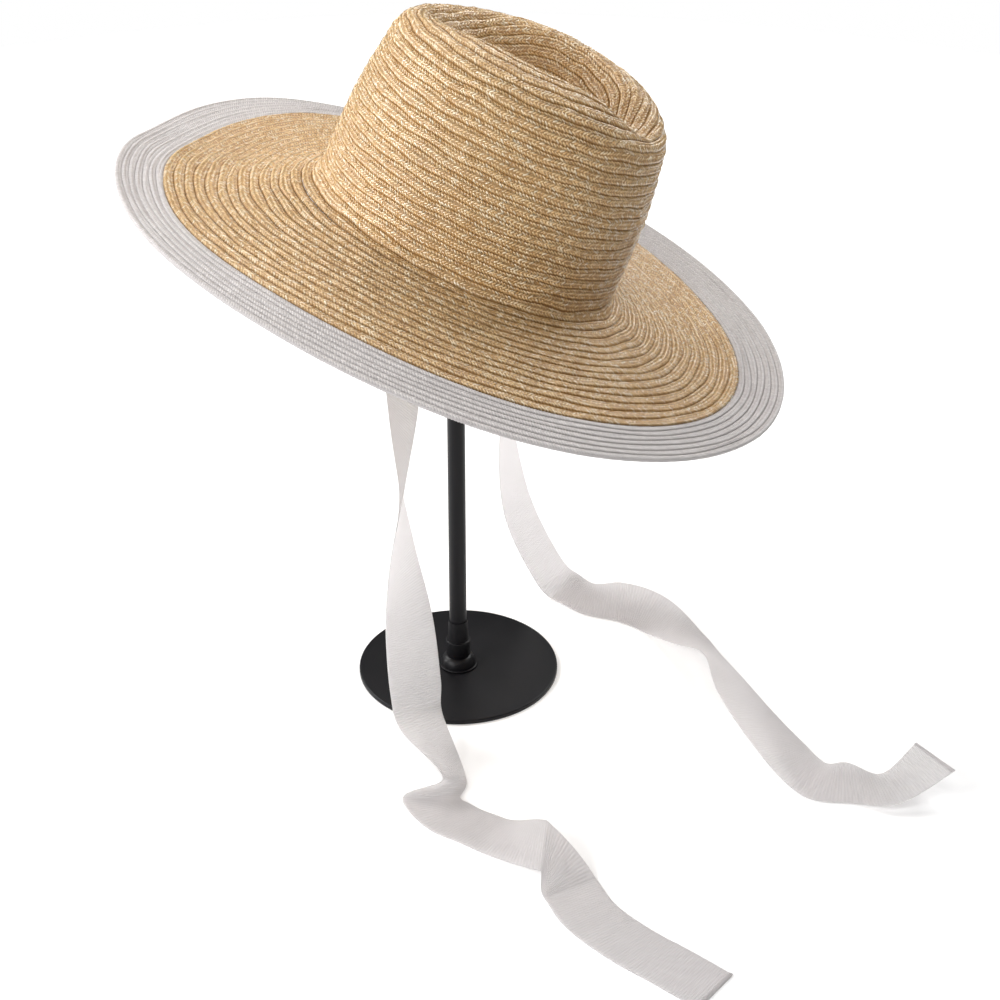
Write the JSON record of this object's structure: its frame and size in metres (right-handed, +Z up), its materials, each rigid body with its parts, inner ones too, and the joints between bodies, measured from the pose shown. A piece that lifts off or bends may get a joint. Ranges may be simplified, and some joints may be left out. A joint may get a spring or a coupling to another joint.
{
  "type": "straw hat on a display stand",
  "caption": "Wide-brimmed sewn straw hat with a dented crown, a white braid border and ribbon ties, leaning on a plain post display stand.",
  "frame": {"origin": "middle of the underside of the stand's round foot, on the surface it stands on", "axes": "+Z up along the stand's post, +X to the right of a viewer in front of the hat, +Y away from that viewer"},
  "size_m": [0.5356, 0.5599, 0.4848],
  "materials": {
    "straw": "natural wheat straw plait, sewn in overlapping rows, slightly glossy",
    "white_braid": "white braid, sewn in overlapping rows",
    "grosgrain": "white grosgrain ribbon with fine cross ribs",
    "black_enamel": "black enamel, satin"
  },
  "bodies": {
    "root": {"crown": "straw", "brim": "straw", "brim_border": "white_braid", "ribbon_near": "grosgrain", "ribbon_far": "grosgrain", "stand_base": "black_enamel", "stand_flange": "black_enamel", "stand_ferrule": "black_enamel", "stand_post": "black_enamel", "stand_cap": "black_enamel"}
  },
  "joints": []
}
